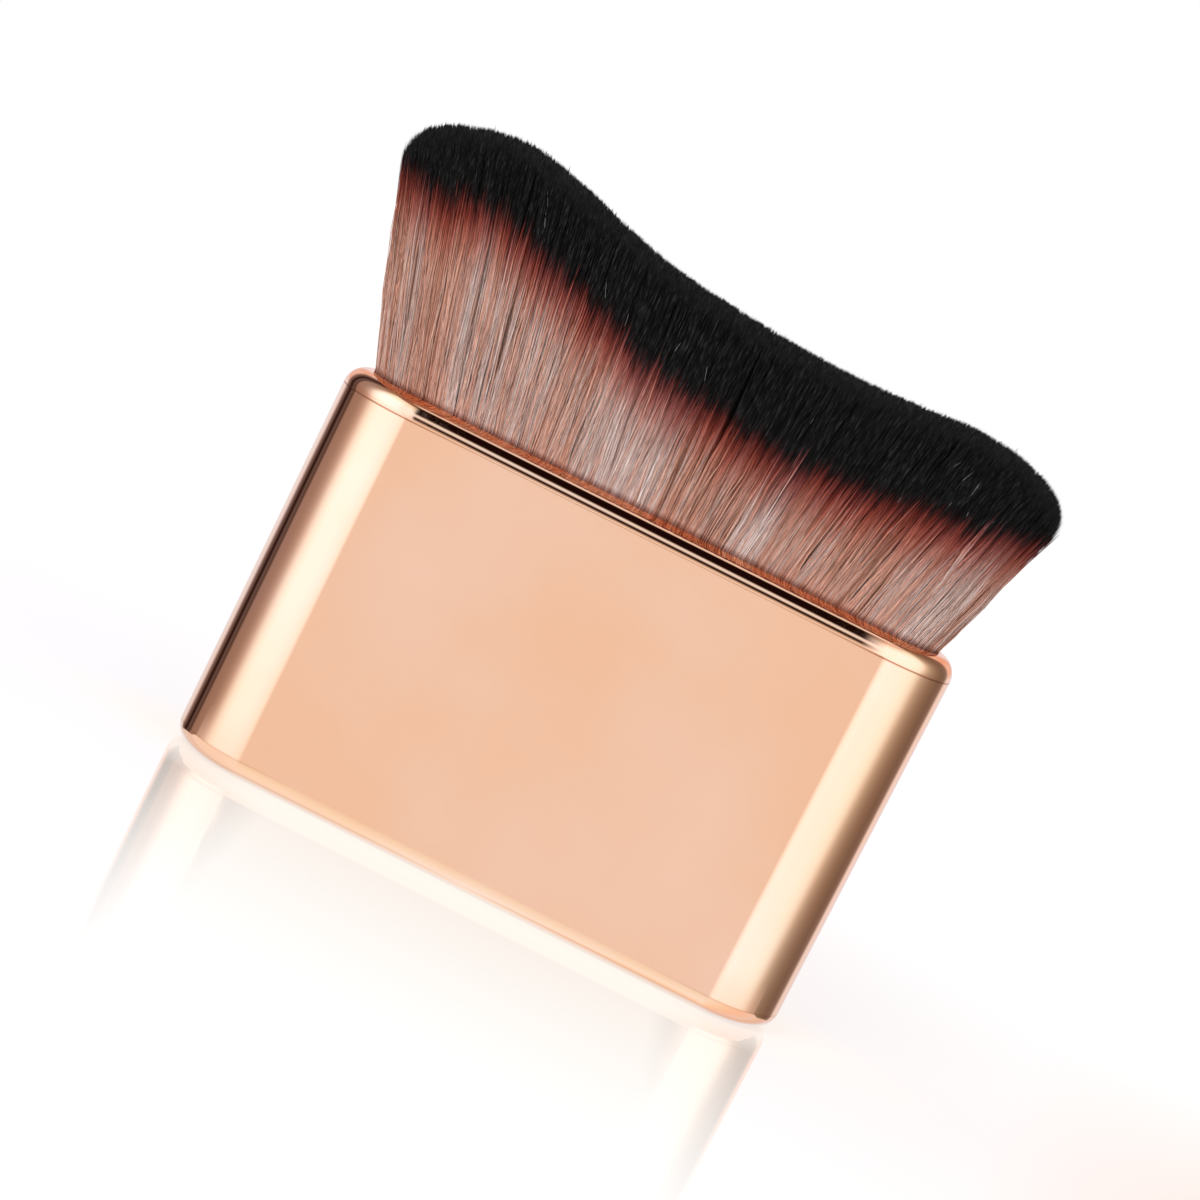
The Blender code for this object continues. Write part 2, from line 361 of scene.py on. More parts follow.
# Handle shell: the straight wall, plated plastic like the cap and open above and below. It is
# slipped over the core and glued.
SHELL_WALL = 1.2 * MM
SHELL_BOTTOM = 2.2005 * MM
SHELL_TOP = 45.829 * MM
EDGE_BREAK = 0.012 * MM
EDGE_BREAK_STEPS = 3
SHARP_ANGLE = 1.0
LEVEL_SLACK = 0.001 * MM


def join_open_ends(bar):
    """Removes both end faces and bridges the two open edges with a wall."""
    pick(bar, "FACE", lambda face: len(face.verts) > 4)
    bpy.ops.mesh.delete(type="ONLY_FACE")
    pick(bar, "EDGE", lambda edge: edge.is_boundary)
    bpy.ops.mesh.bridge_edge_loops()


def sharp_at_top(edge):
    """Whether an edge is a sharp one round the shell's top, outside or inside."""
    level = all(abs(vert.co.z - SHELL_TOP) < LEVEL_SLACK for vert in edge.verts)
    return level and len(edge.link_faces) == 2 and edge.calc_face_angle() > SHARP_ANGLE


shell = plated_bar(
    "handle_shell_plated", HANDLE_HALF_WIDTH, HANDLE_HALF_DEPTH, SHELL_BOTTOM, SHELL_TOP
)
for facing in (1, -1):
    choose_cap(shell, facing)
    bpy.ops.mesh.inset(thickness=SHELL_WALL, depth=0)
join_open_ends(shell)
pick(shell, "EDGE", sharp_at_top)
bpy.ops.mesh.bevel(offset=EDGE_BREAK, segments=EDGE_BREAK_STEPS, affect="EDGES")
finish_plated(shell, plating, "handle_shell")

# Resin: clear amber resin, poured into the ferrule under the bristles and cured hard. It holds
# the foot of the pack.
cured_amber = textured(
    "resin_cured_amber",
    colours=((0.52, 0.36, 0.17), (0.66, 0.50, 0.28)),
    roughness=(0.12, 0.30),
    relief=0.05 * MM,
    scale=260.0,
    stretch=(1.0, 1.0, 0.6),
)
dress_kept("resin_plug", cured_amber)

# Ferrule: a thin drawn aluminium sleeve around the foot of the bristles, pressed into the core
# before the collar closes it.
drawn_aluminium = textured(
    "ferrule_drawn_aluminium",
    colours=((0.74, 0.74, 0.75), (0.86, 0.86, 0.87)),
    roughness=(0.22, 0.38),
    relief=0.02 * MM,
    scale=1100.0,
    stretch=(1.0, 1.0, 0.06),
    metallic=1.0,
)
dress_kept("ferrule", drawn_aluminium)

# Top collar: the plated rounded rim around the mouth. Its skirt is pressed into the shell, and
# its inner lip is rolled over towards the bristles.
RIM_RISE = 2.55 * MM
RIM_INSET = 2.7 * MM
RIM_STEPS = 22
LIP_RADIUS = 0.16 * MM
LIP_STEPS = 4
SEAM_ROUND = 0.06 * MM
SEAM_STEPS = 4
COLLAR_BAND = 0.04 * MM
SKIRT_BOTTOM = 42.85 * MM

collar_bottom = RIM_SEAM - SEAM_SLACK + SEAM_ROUND
collar = plated_bar(
    "top_collar_plated",
    HANDLE_HALF_WIDTH,
    HANDLE_HALF_DEPTH,
    collar_bottom,
    collar_bottom + COLLAR_BAND,
)
choose_cap(collar, 1)
level = SEAM_ROUND + COLLAR_BAND - SEAM_SLACK
for before, after in quarter_turn(RIM_STEPS):
    inset = (RIM_INSET - LIP_RADIUS) * (math.cos(before) - math.cos(after))
    draw_in(inset, RIM_RISE * math.sin(after) - level)
    level = RIM_RISE * math.sin(after)
for before, after in quarter_turn(LIP_STEPS):
    inset = LIP_RADIUS * (math.sin(after) - math.sin(before))
    draw_in(inset, LIP_RADIUS * (math.cos(after) - math.cos(before)))
pull_out(SKIRT_BOTTOM - (HANDLE_HEIGHT - LIP_RADIUS))
choose_cap(collar, -1)
round_over(SEAM_ROUND, -SEAM_ROUND, SEAM_STEPS)
draw_in(PLUG_INSET - SEAM_ROUND, 0)
pull_out(SKIRT_BOTTOM - (RIM_SEAM - SEAM_SLACK))
join_open_ends(collar)
finish_plated(collar, plating, "top_collar")

# Bristle bed: the resin that the bristles' feet stand in, one slab across the mouth, a little
# raised where it has crept up the filaments.
ROOT_HEIGHT = 45.4 * MM
ROOT_HALF_WIDTH = 34.957 * MM
ROOT_HALF_DEPTH = 6.069 * MM
BED_EDGE = 0.15 * MM
BED_BOTTOM = 38.9 * MM
# How far in and how far up each step of the creep goes
BED_CREEP = ((0.5 * MM, 0.15 * MM), (0.8 * MM, 0.1 * MM))

bed = plated_bar(
    "bristle_bed",
    ROOT_HALF_WIDTH + BED_EDGE,
    ROOT_HALF_DEPTH + BED_EDGE,
    BED_BOTTOM,
    ROOT_HEIGHT,
)
choose_cap(bed, 1)
for inset, rise in BED_CREEP:
    draw_in(inset, rise)
bpy.ops.object.mode_set(mode="OBJECT")
bpy.ops.object.shade_smooth_by_angle(angle=SMOOTH_ANGLE)
bed.data.materials.append(cured_amber)
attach(bed, "root")

# Bristles: synthetic filaments, tapered at the tip, two-toned silver and copper, dyed red-brown
# and then black towards the tips. They are packed in locks, fan out of the mouth and are cut in
# a wave. Each piece is a stretch of one of the seven rows.
ROOT_STRAIGHT = ROOT_HALF_WIDTH - ROOT_HALF_DEPTH
ROOT_SINK = 0.3 * MM
SIDE_FAN_RADII = (110.0 * MM, 116.0 * MM)
DEPTH_FAN_RADIUS = 60.0 * MM
TIP_SPREAD = 1.25
ROOT_DEPTH = 3.0 * MM
LOBE_LENGTH = 31.6 * MM
VALLEY_LENGTH = 24.5 * MM
LEFT_CORNER_DROP = 7.2 * MM
RIGHT_CORNER_DROP = 6.6 * MM
CROWN_DROP = 1.2 * MM
STEEPEST_CUT = 2
ROW_COUNT = 7
ROW_STRETCHES = {1: 3, 7: 3}

# Wave cut between the outer lobes: place across the half width, height from valley to lobe
WAVE_SHARES = (
    (-0.69, 1.00),
    (-0.516, 0.775),
    (-0.343, 0.437),
    (-0.202, 0.240),
    (0.072, 0.060),
    (0.298, 0.005),
    (0.505, 0.052),
    (0.651, 0.122),
)

# Where the black dye starts: place across the half width, height above the roots in mm
DYE_LINE = (
    (-1.00, 25.25),
    (-0.81, 25.05),
    (-0.70, 25.65),
    (-0.585, 23.95),
    (-0.425, 21.15),
    (-0.283, 19.05),
    (-0.182, 17.45),
    (0.00, 16.55),
    (0.255, 15.65),
    (0.459, 15.75),
    (0.592, 16.6),
    (0.776, 17.8),
    (1.00, 19.5),
)

# The skin is the outer layer of the pack, finer and denser than the core. The shares are the
# heights at which a filament is bent
SKIN_DEPTH = 1.45 * MM
SKIN_OVERHANG = 0.20 * MM
SKIN_FILAMENTS = 31000
SKIN_RADIUS = 0.044 * MM
SKIN_SHARES = (0.0, 0.11, 0.27, 0.45, 0.67, 0.94, 1.0)
CORE_MARGIN = SKIN_DEPTH * 0.8
CORE_PITCH = 0.165 * MM
CORE_RADIUS = 0.080 * MM
CORE_SHARES = (0.0, 0.45, 0.98, 1.0)
TAPER = 0.30
TAPER_START = 0.60

# Filaments cling together in strands, and strands in locks, which lean, curl and draw together
LOCK_PITCH = 2.4 * MM
LOCK_OVERHANG = 0.3 * MM
LOCK_LEAN = (0.46 * MM, 0.12 * MM)
LOCK_PULL = 0.03
LOCK_PULL_SPAN = 0.22
LOCK_TIP_FREED = 0.75
STRAND_PITCH = 0.34 * MM
STRAND_OVERHANG = 0.1 * MM
STRAND_STRAY = 0.22 * MM
STRAND_LEAN = (0.36 * MM, 0.14 * MM)
STRAND_PULL = 0.10
STRAND_PULL_SPAN = 0.34
STRAND_TIP_FREED = 0.60
STRAND_CURL = 0.15 * MM
FILAMENT_STRAY = 0.06 * MM
FILAMENT_LEAN = (0.28 * MM, 0.16 * MM)
FILAMENT_CURLS = ((1.3, 0.12 * MM), (2.5, 0.08 * MM))
STIFF_LENGTH = 2.0 * MM
FREEING_LENGTH = 8.0 * MM
END_HOLD = 0.85

# The cut leaves the tips a little uneven, and a few wild filaments stand out of it
TIP_EXTRA = -0.26 * MM
TIP_UNEVEN = 0.16 * MM
TIP_LIMITS = (-0.4 * MM, 0.3 * MM)
WILD_SHARE = 0.005
WILD_EXTRA = (0.1 * MM, 0.6 * MM)
WILD_LEAN = 0.5 * MM

# Unevenness of the dye line in mm, and the heights in mm that the fibre's map runs between
LOCK_DYE = 0.16
STRAND_DYE = 0.28
FILAMENT_DYE = 0.70
DYE_MAP_FOOT = -16
DYE_MAP_TOP = 8

# Tone of the undyed fibre, from copper at 0 to silver at 1
TONE = 0.52
# How far the tone drifts to silver towards both ends, as painted shade
TONE_SHADE_TO_ENDS = 0.035
LOCK_TONE = 0.19
STRAND_TONE = 0.15
FILAMENT_TONE = 0.27

SEED = 1187
rng = np.random.default_rng(SEED)


def wave_table():
    """Cut height above the rim at even places from -1 to 1 across the half width."""
    places = np.linspace(-1, 1, 801)
    marks = np.array(WAVE_SHARES)
    slopes = np.zeros(len(marks))
    slopes[1:-1] = (marks[2:, 1] - marks[:-2, 1]) / (marks[2:, 0] - marks[:-2, 0])
    cell = np.clip(np.searchsorted(marks[:, 0], places) - 1, 0, len(marks) - 2)
    run = marks[cell + 1, 0] - marks[cell, 0]
    t = np.clip((places - marks[cell, 0]) / run, 0, 1)
    share = (2 * t**3 - 3 * t**2 + 1) * marks[cell, 1]
    share += (t**3 - 2 * t**2 + t) * run * slopes[cell]
    share += (3 * t**2 - 2 * t**3) * marks[cell + 1, 1]
    share += (t**3 - t**2) * run * slopes[cell + 1]
    first, last = marks[0, 0], marks[-1, 0]
    left = np.clip((first - places) / (1 + first), 0, 1)
    right = np.clip((places - last) / (1 - last), 0, 1)
    fall = LEFT_CORNER_DROP * (1 - np.sqrt(1 - left**1.65))
    fall += RIGHT_CORNER_DROP * (1 - np.sqrt(1 - right**1.8))
    return places, VALLEY_LENGTH + (LOBE_LENGTH - VALLEY_LENGTH) * share - fall


def inside_stadium(points, margin):
    """Which points lie inside the root outline drawn in by a margin."""
    across = np.maximum(np.abs(points[:, 0]) - ROOT_STRAIGHT, 0)
    return np.hypot(across, points[:, 1]) < ROOT_HALF_DEPTH - margin


def near_edge(x, deep):
    """How far out across the width a filament is cut: on the round ends, by the edge beside it."""
    over = np.maximum(x - ROOT_STRAIGHT, 0)
    room = np.sqrt(np.maximum(1 - deep**2, 0.01))
    return np.minimum(x - SKIN_OVERHANG + over * 0.5 * (1 / room - 1), ROOT_HALF_WIDTH)


def even_scatter(pitch, margin):
    """Places at an even but unruly spacing inside the root outline."""
    xs = np.arange(-ROOT_HALF_WIDTH, ROOT_HALF_WIDTH, pitch)
    ys = np.arange(-ROOT_HALF_DEPTH, ROOT_HALF_DEPTH, pitch)
    grid = np.stack(np.meshgrid(xs, ys), -1).reshape(-1, 2)
    grid = grid + rng.uniform(-0.5, 0.5, grid.shape) * pitch
    return grid[inside_stadium(grid, margin)]


def skin_scatter(count, depth):
    """Places in the outer layer of the root outline."""
    side = 2 * ROOT_STRAIGHT
    end = math.pi * ROOT_HALF_DEPTH
    along = (np.arange(count) + rng.uniform(0, 1, count)) / count * (2 * side + 2 * end)
    radius = ROOT_HALF_DEPTH + SKIN_OVERHANG - depth * rng.uniform(0, 1, count) ** 1.15
    # Round the outline from the left end of the front: front, right end, back, left end
    marks = np.cumsum([0, side, end, side, end])
    centre = np.interp(along, marks, np.array([-1, 1, 1, -1, -1]) * ROOT_STRAIGHT)
    angle = np.interp(along, marks, np.array([-1, -1, 1, 1, 3]) * math.pi / 2)
    return np.stack([centre + radius * np.cos(angle), radius * np.sin(angle)], 1)


def nearest(places, points):
    """For each point, the number of the place next to it."""
    tree = KDTree(len(places))
    for number, (x, y) in enumerate(places):
        tree.insert((x, y, 0), number)
    tree.balance()
    return np.array([tree.find((x, y, 0))[1] for x, y in points])


def filament_pattern(shares):
    """One three-sided filament of unit size, pointed at its tip: its corners and triangles."""
    bpy.ops.object.select_all(action="DESELECT")
    bpy.ops.mesh.primitive_cylinder_add(
        vertices=3, radius=1, depth=1, end_fill_type="NGON", location=(0, 0, 0.5)
    )
    pattern = bpy.context.object
    bpy.ops.object.transform_apply(location=True, rotation=True, scale=True)
    bpy.ops.object.mode_set(mode="EDIT")
    for share in shares[1:-1]:
        bpy.ops.mesh.select_all(action="SELECT")
        bpy.ops.mesh.bisect(plane_co=(0, 0, share), plane_no=(0, 0, 1))
    pick(pattern, "VERT", lambda vert: vert.co.z > 0.999)
    bpy.ops.mesh.merge(type="CENTER")
    bpy.ops.mesh.select_all(action="SELECT")
    bpy.ops.mesh.quads_convert_to_tris()
    bpy.ops.mesh.normals_make_consistent(inside=False)
    bpy.ops.object.mode_set(mode="OBJECT")
    corners = np.array([tuple(vert.co) for vert in pattern.data.vertices])
    faces = np.array([tuple(face.vertices) for face in pattern.data.polygons])
    bpy.data.objects.remove(pattern, do_unlink=True)
    return corners, faces


wave_places, wave_heights = wave_table()
dye_places, dye_heights = np.array(DYE_LINE).T
lock_places = even_scatter(LOCK_PITCH, -LOCK_OVERHANG)
strand_places = even_scatter(STRAND_PITCH, -STRAND_OVERHANG)
strayed_strands = strand_places + rng.normal(0, STRAND_STRAY, strand_places.shape)
strand_lock = nearest(lock_places, strayed_strands)
locks = len(lock_places)
strands = len(strand_places)
lock_lean = rng.normal(0, 1, (locks, 2)) * LOCK_LEAN
lock_pull = LOCK_PULL + LOCK_PULL_SPAN * rng.uniform(0, 1, locks) ** 3
lock_tone = rng.uniform(-1, 1, locks)
lock_dye = rng.normal(0, LOCK_DYE, locks)
strand_lean = rng.normal(0, 1, (strands, 2)) * STRAND_LEAN
strand_pull = STRAND_PULL + STRAND_PULL_SPAN * rng.uniform(0, 1, strands) ** 2
strand_tone = rng.uniform(-1, 1, strands)
strand_dye = rng.normal(0, STRAND_DYE, strands)
strand_phase = rng.uniform(0, 2 * math.pi, (strands, 2))
strand_cycles = rng.uniform(0.9, 2.1, strands)


def curl(cycles, phase, t):
    """How far a wave has carried a filament aside at each height, from none at its root."""
    return np.sin(2 * math.pi * cycles * t[..., None] + phase) - np.sin(phase)


def lay_filaments(roots, shares, thickness):
    """Centre lines, radii, dye heights and tones of the filaments that grow from these roots."""
    count = len(roots)
    t = np.array(shares)[None, :]
    strand = nearest(strand_places, roots + rng.normal(0, FILAMENT_STRAY, roots.shape))
    lock = strand_lock[strand]
    across = roots[:, 0] / ROOT_HALF_WIDTH
    deep = np.clip(roots[:, 1] / ROOT_HALF_DEPTH, -1, 1)
    cut_place = np.sign(across) * near_edge(np.abs(roots[:, 0]), np.abs(deep)) / ROOT_HALF_WIDTH
    length = ROOT_DEPTH + np.interp(cut_place, wave_places, wave_heights) - CROWN_DROP * deep**2
    length += TIP_EXTRA + np.clip(rng.normal(0, TIP_UNEVEN, count), *TIP_LIMITS)
    wild = rng.uniform(0, 1, count) < WILD_SHARE
    length += wild * rng.uniform(*WILD_EXTRA, count)
    climb = length[:, None] * t

    def fanned(places):
        radius = np.interp(places[:, 0], (-ROOT_HALF_WIDTH, ROOT_HALF_WIDTH), SIDE_FAN_RADII)
        x = places[:, 0, None] * (1 + climb / radius[:, None])
        y = places[:, 1, None] * (1 + climb / DEPTH_FAN_RADIUS)
        return np.stack([x, y], -1)

    at = fanned(roots)
    free = np.clip((climb - STIFF_LENGTH) / FREEING_LENGTH, 0, 1) ** 1.3
    lock_share = free * (1 - LOCK_TIP_FREED * t**4) * lock_pull[lock][:, None]
    strand_share = free * (1 - STRAND_TIP_FREED * t**4) * strand_pull[strand][:, None]
    at = at + (fanned(strand_places[strand]) - at) * strand_share[..., None]
    at = at + (fanned(lock_places[lock]) - at) * lock_share[..., None]
    lean = lock_lean[lock] + strand_lean[strand] + rng.normal(0, 1, (count, 2)) * FILAMENT_LEAN
    lean = lean + wild[:, None] * rng.normal(0, WILD_LEAN, (count, 2))
    lean[:, 0] *= 1 - END_HOLD * np.minimum(np.abs(across), 1) ** 10
    at = at + lean[:, None, :] * (free * t)[..., None]
    cycles = strand_cycles[strand][:, None, None]
    phase = strand_phase[strand][:, None, :]
    at = at + curl(cycles, phase, t) * STRAND_CURL * free[..., None]
    for turns, size in FILAMENT_CURLS:
        phase = rng.uniform(0, 2 * math.pi, (count, 1, 2))
        cycles = turns * rng.uniform(0.7, 1.3, (count, 1, 1))
        at = at + curl(cycles, phase, t) * size * free[..., None]
    # The cut follows the wave where the tips stand, not where the roots do
    strayed = at[:, -1, 0] - fanned(roots)[:, -1, 0]
    slopes = np.gradient(wave_heights, wave_places) / (ROOT_HALF_WIDTH * TIP_SPREAD)
    slope = np.clip(np.interp(cut_place, wave_places, slopes), -STEEPEST_CUT, STEEPEST_CUT)
    climb = climb * (1 + slope * strayed / length)[:, None]
    centre = np.concatenate([at, (ROOT_HEIGHT - ROOT_SINK + climb)[..., None]], -1)
    taper = 1 - TAPER * np.clip((t - TAPER_START) / (1 - TAPER_START), 0, 1) ** 1.6
    radius = thickness * rng.uniform(0.8, 1.2, (count, 1)) * taper
    start = np.interp(across, dye_places, dye_heights)
    start = start + lock_dye[lock] + strand_dye[strand] + rng.normal(0, FILAMENT_DYE, count)
    dye = climb / MM - start[:, None]
    # Towards both ends the tone drifts a little to silver, a painted shade that makes the ends darker
    # and greyer
    tone = TONE + TONE_SHADE_TO_ENDS * np.abs(across) + LOCK_TONE * lock_tone[lock]
    tone = tone + STRAND_TONE * strand_tone[strand]
    tone = tone + rng.uniform(-FILAMENT_TONE, FILAMENT_TONE, count)
    return centre, radius, dye, np.clip(tone, 0.01, 0.99)


def linked_mesh(name, coordinates, triangles):
    """A smooth piece in the scene, from lists of its corners and triangles."""
    mesh = bpy.data.meshes.new(name)
    mesh.from_pydata(
        np.concatenate(coordinates).tolist(), [], np.concatenate(triangles).tolist(), shade_flat=False
    )
    piece = bpy.data.objects.new(name, mesh)
    bpy.context.scene.collection.objects.link(piece)
    return piece


def bristle_piece(name, row, layers):
    """A stretch of bristles as one mesh, its map holding each filament's tone and dye height."""
    coordinates, triangles, maps = [], [], []
    offset = 0
    for (centre, radius, dye, tone), (corners, faces), shares in layers:
        count = len(centre)
        ring = np.abs(corners[:, 2, None] - np.array(shares)[None, :]).argmin(1)
        turn = rng.uniform(0, 2 * math.pi, count)
        cos, sin = np.cos(turn)[:, None], np.sin(turn)[:, None]
        at = centre[:, ring, :].copy()
        at[..., 0] += (corners[None, :, 0] * cos - corners[None, :, 1] * sin) * radius[:, ring]
        at[..., 1] += (corners[None, :, 0] * sin + corners[None, :, 1] * cos) * radius[:, ring]
        coordinates.append(at.reshape(-1, 3))
        numbers = faces[None] + (np.arange(count) * len(corners))[:, None, None] + offset
        triangles.append(numbers.reshape(-1, 3))
        side = tone[:, None] + corners[None, :, 0] * 0.003
        up = np.clip((dye[:, ring] - DYE_MAP_FOOT) / (DYE_MAP_TOP - DYE_MAP_FOOT), 0, 1)
        maps.append(np.stack([side, up], -1).reshape(-1, 2))
        offset += count * len(corners)
    piece = linked_mesh(name, coordinates, triangles)
    layer = piece.data.uv_layers.new(name="OFBake")
    corner_places = np.concatenate(maps)[np.concatenate(triangles).ravel()]
    layer.uv.foreach_set("vector", corner_places.astype(np.float32).ravel())
    piece.data.materials.append(bristle_fibre)
    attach(piece, "root")
    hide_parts(row)


BLACK_MAP_SPAN = (0.66, 0.74)
SHADED_ROOTS = (HANDLE_HEIGHT - 0.2 * MM, HANDLE_HEIGHT + 0.7 * MM)
GLINT_SCALE = (4200.0, 4200.0, 620.0)


def dyed_filament():
    """Soft synthetic fibre: mixed silver and copper, then red-brown, then black at the tip."""
    made, tree, shader = new_material("bristle_fibre")
    shader.inputs["Roughness"].default_value = 0.50
    shader.inputs["Specular IOR Level"].default_value = 0.07
    map_place = add_node(tree, "ShaderNodeUVMap", uv_map="OFBake").outputs["UV"]
    parts = add_node(tree, "ShaderNodeSeparateXYZ", Vector=map_place)
    tone, height = parts.outputs["X"], parts.outputs["Y"]
    fibres = (
        (0.00, (0.17, 0.075, 0.053)),
        (0.12, (0.32, 0.150, 0.105)),
        (0.27, (0.50, 0.240, 0.165)),
        (0.42, (0.60, 0.315, 0.235)),
        (0.55, (0.55, 0.340, 0.280)),
        (0.68, (0.49, 0.350, 0.312)),
        (0.82, (0.58, 0.452, 0.416)),
        (0.93, (0.66, 0.537, 0.502)),
        (1.00, (0.72, 0.620, 0.588)),
    )
    # Tint of the dye, from none at the foot to black at the tip
    dyes = (
        (0.32, (1.0, 1.0, 1.0)),
        (0.415, (0.91, 0.81, 0.79)),
        (0.505, (0.77, 0.50, 0.46)),
        (0.583, (0.51, 0.205, 0.19)),
        (0.644, (0.27, 0.085, 0.083)),
        (0.694, (0.055, 0.030, 0.035)),
    )
    colour = tinted(tree, add_ramp(tree, tone, fibres), add_ramp(tree, height, dyes))
    place = add_node(tree, "ShaderNodeTexCoord").outputs["Object"]
    along = add_node(tree, "ShaderNodeMapping", Vector=place, Scale=GLINT_SCALE).outputs["Vector"]
    glints = add_node(tree, "ShaderNodeTexNoise", Vector=along, Scale=1.0, Detail=2.0, Roughness=0.6)
    glints = glints.outputs["Fac"]
    shades = ((0.28, grey(0.62)), (0.5, grey(0.98)), (0.68, grey(1.0)))
    colour = tinted(tree, colour, add_ramp(tree, glints, shades))
    # The black dye hides the fibre's own colour
    blacks = ((0.3, grey(0.003)), (0.52, grey(0.006)), (0.70, grey(0.034)))
    dyed = span_share(tree, height, *BLACK_MAP_SPAN)
    colour = blend(tree, dyed, colour, add_ramp(tree, glints, blacks))
    # Painted shade, with a warm tint, darkens the fibres just above the rim
    up = add_node(tree, "ShaderNodeSeparateXYZ", Vector=place).outputs["Z"]
    roots = ((0.0, (0.42, 0.27, 0.24)), (0.55, (0.72, 0.60, 0.58)), (1.0, grey(1.0)))
    colour = tinted(tree, colour, add_ramp(tree, span_share(tree, up, *SHADED_ROOTS), roots))
    tree.links.new(colour, shader.inputs["Base Color"])
    return made


bristle_fibre = dyed_filament()
skin_roots = skin_scatter(SKIN_FILAMENTS, SKIN_DEPTH)
core_roots = even_scatter(CORE_PITCH, CORE_MARGIN)
row_pitch = 2 * (ROOT_HALF_DEPTH + BED_EDGE) / ROW_COUNT
layers = []
for roots, shares, thickness in (
    (skin_roots, SKIN_SHARES, SKIN_RADIUS),
    (core_roots, CORE_SHARES, CORE_RADIUS),
):
    laid = lay_filaments(roots, shares, thickness)
    row = np.clip((roots[:, 1] + ROOT_HALF_DEPTH + BED_EDGE) / row_pitch, 0, ROW_COUNT - 0.01)
    layers.append((roots[:, 0], row.astype(int) + 1, laid, filament_pattern(shares), shares))
for number in range(1, ROW_COUNT + 1):
    stretches = ROW_STRETCHES.get(number, 1)
    ends = np.linspace(-1, 1, stretches + 1) * ROOT_HALF_WIDTH
    ends[0], ends[-1] = -np.inf, np.inf
    for stretch in range(stretches):
        chosen = []
        for across, row, laid, pattern, shares in layers:
            own = (row == number) & (across >= ends[stretch]) & (across < ends[stretch + 1])
            chosen.append(([part[own] for part in laid], pattern, shares))
        suffix = "_" + "abc"[stretch] if stretches > 1 else ""
        bristle_piece(f"bristles_row_{number}{suffix}", f"bristle_row_{number}", chosen)

# Loose hairs: short pale fibres caught on the black tips, front and back. Each one lies on the
# head like a bent thread.
HAIR_COUNT = 28
HAIR_RADIUS = 0.014 * MM
HAIR_SHARES = (0.0, 0.25, 0.5, 0.75, 1.0)
HAIR_SPAN = (-0.92, 0.95)
HAIR_LENGTHS = (0.7 * MM, 2.6 * MM)
HAIR_ABOVE_DYE = 0.3 * MM
HAIR_BELOW_TIP = 4.0 * MM
HAIR_LIFT = 0.22 * MM
HAIR_FAN = 0.33
HAIR_STRAY = 0.2
HAIR_BEND = 0.4


def loose_hairs():
    """Pale threads laid over the dyed part of the head, as one mesh."""
    corners, faces = filament_pattern(HAIR_SHARES)
    steps = len(HAIR_SHARES)
    ring = np.abs(corners[:, 2, None] - np.array(HAIR_SHARES)[None, :]).argmin(1)
    coordinates, triangles = [], []
    for number in range(HAIR_COUNT):
        facing = -1 if number % 2 == 0 else 1
        across = rng.uniform(*HAIR_SPAN)
        dye = np.interp(across, dye_places, dye_heights) * MM
        top = np.interp(across, wave_places, wave_heights) + ROOT_DEPTH + TIP_EXTRA
        climb = rng.uniform(dye + HAIR_ABOVE_DYE, top - HAIR_BELOW_TIP)
        x = across * ROOT_HALF_WIDTH
        over = max(abs(x) - ROOT_STRAIGHT, 0)
        out = math.sqrt(max((ROOT_HALF_DEPTH + SKIN_OVERHANG) ** 2 - over**2, 0))
        angle = math.pi / 2 - HAIR_FAN * across + rng.normal(0, HAIR_STRAY)
        bend = rng.uniform(-HAIR_BEND, HAIR_BEND)
        length = rng.uniform(*HAIR_LENGTHS)
        at = np.array([x * (1 + climb / np.interp(across, (-1, 1), SIDE_FAN_RADII)), climb])
        places = []
        for step in range(steps):
            y = facing * (out * (1 + at[1] / DEPTH_FAN_RADIUS) + HAIR_LIFT)
            places.append((at[0], y, ROOT_HEIGHT - ROOT_SINK + at[1]))
            turn = angle + bend * step / steps
            at = at + length / steps * np.array([math.cos(turn), math.sin(turn)])
        turn = angle + bend * 0.5
        spread = corners[:, 0, None] * np.array([-math.sin(turn), 0, math.cos(turn)])
        spread = spread + corners[:, 1, None] * np.array([0, 1, 0])
        taper = np.where(corners[:, 2] > 0.9, 0.2, 1.0)[:, None]
        coordinates.append(np.array(places)[ring] + spread * taper * HAIR_RADIUS)
        triangles.append(faces + number * len(corners))
    return linked_mesh("loose_hairs", coordinates, triangles)


hairs = loose_hairs()
bpy.ops.object.select_all(action="DESELECT")
bpy.context.view_layer.objects.active = hairs
hairs.select_set(True)
bpy.ops.object.mode_set(mode="EDIT")
bpy.ops.mesh.select_all(action="SELECT")
bpy.ops.mesh.normals_make_consistent(inside=False)
bpy.ops.object.mode_set(mode="OBJECT")
loose_pale = textured(
    "loose_hair_pale",
    colours=((0.14, 0.13, 0.13), (0.35, 0.32, 0.31)),
    roughness=(0.45, 0.60),
    relief=0.01 * MM,
    scale=700.0,
)
hairs.data.materials.append(loose_pale)
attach(hairs, "root")

# Floor: a glossy white sheet. The camera sees it white, with the brush's soft shadow and a pale
# mirror image that fades away from the foot.
FLOOR_HALF = 2.0
FLOOR_WHITE = 0.86
FLOOR_GLOW = 1.09
GLOW_SHARE = 0.82
MIRROR_ROUGHNESS = 0.04
MIRROR_SHARES = (0.10, 0.52)
MIRROR_SIDES = (24 * MM, 35 * MM)
MIRROR_REACH = 122 * MM
MIRROR_STRETCH = (0.3, 1.0, 0.0)
WASHED_SPAN = (12 * MM, 19 * MM)
WASHED_SHARE = 0.3
WARM_GLOW = (0.94, 0.855, 0.775)
WARM_REACH = 85 * MM


def mixed_shader(share, first, second):
    """The first shader, or the second where the share is 1."""
    mixed = add_node(tree, "ShaderNodeMixShader", Fac=share)
    tree.links.new(first, mixed.inputs[1])
    tree.links.new(second, mixed.inputs[2])
    return mixed.outputs[0]


